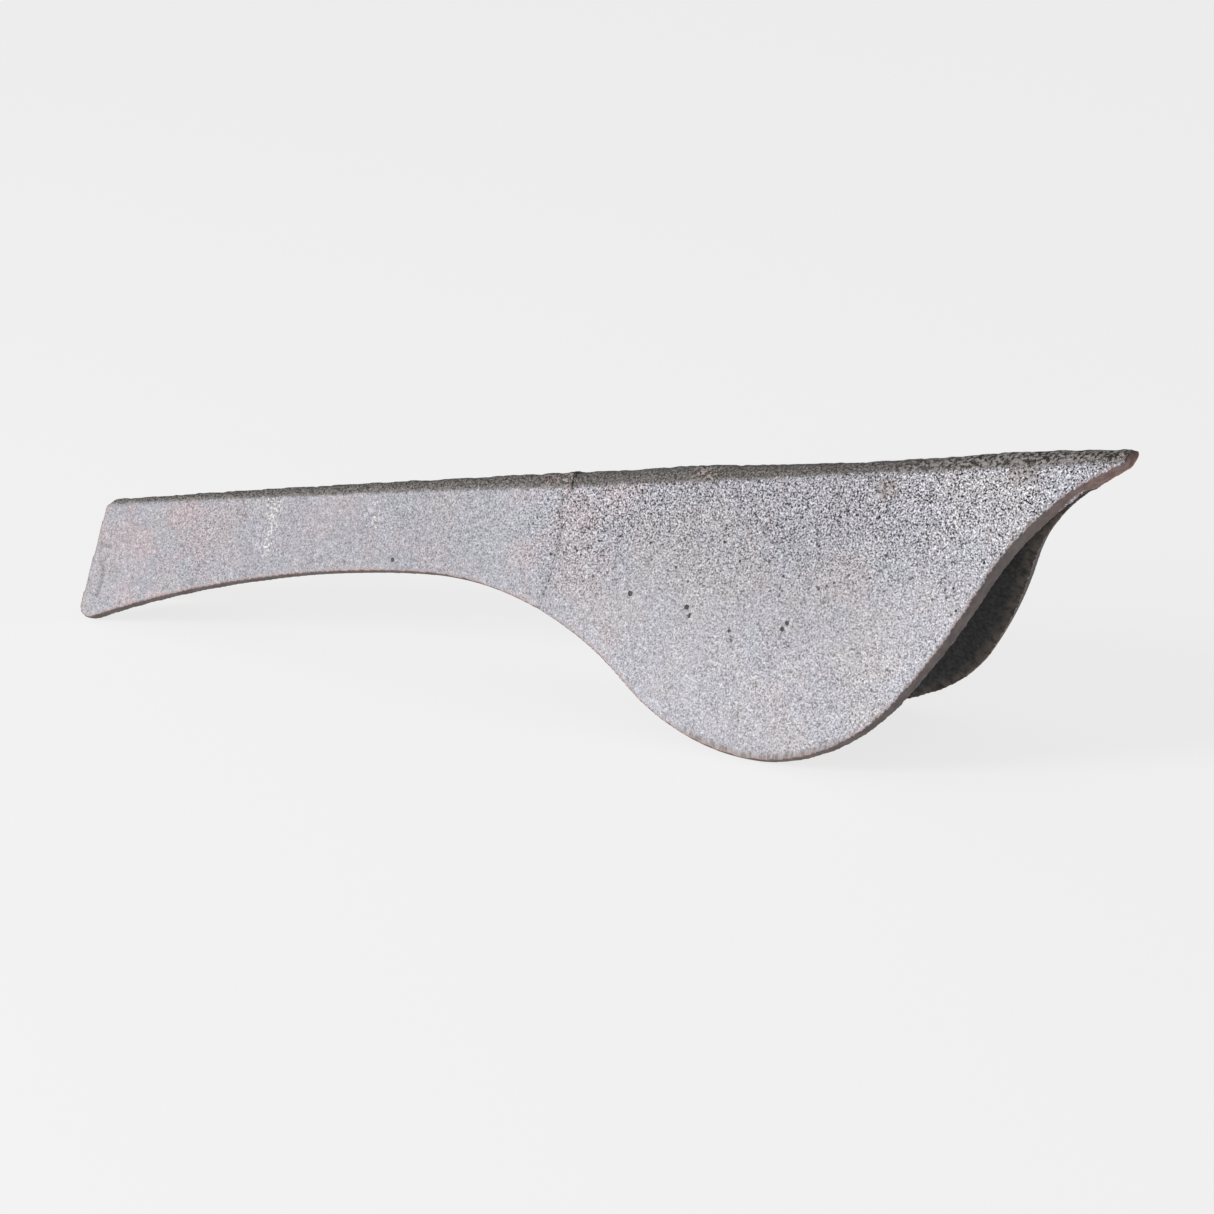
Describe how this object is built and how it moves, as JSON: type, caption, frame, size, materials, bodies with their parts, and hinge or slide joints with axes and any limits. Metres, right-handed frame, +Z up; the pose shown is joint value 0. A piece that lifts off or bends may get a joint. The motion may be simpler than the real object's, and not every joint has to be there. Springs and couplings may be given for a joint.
{
  "type": "cast iron hand scoop",
  "caption": "V-folded cast iron scoop lying ridge up: deep rounded wings run out to a blunt pouring beak, and an open channel handle with a square end.",
  "frame": {"origin": "on the ground under the middle of the length, in the mid-plane of the fold", "axes": "+X towards the beak, +Y across the fold, +Z up, the ridge uppermost"},
  "size_m": [0.2794, 0.0584, 0.0791],
  "materials": {
    "cast_iron_body": "dry grey cast skin, pitted, with brown rims",
    "cast_iron_handle": "dry grey cast skin with a pink rust blush",
    "braze_filler": "dull rusted filler, flush with the iron"
  },
  "bodies": {
    "root": {"scoop_body": "cast_iron_body", "channel_handle": "cast_iron_handle", "seam_braze": "braze_filler"}
  },
  "joints": []
}
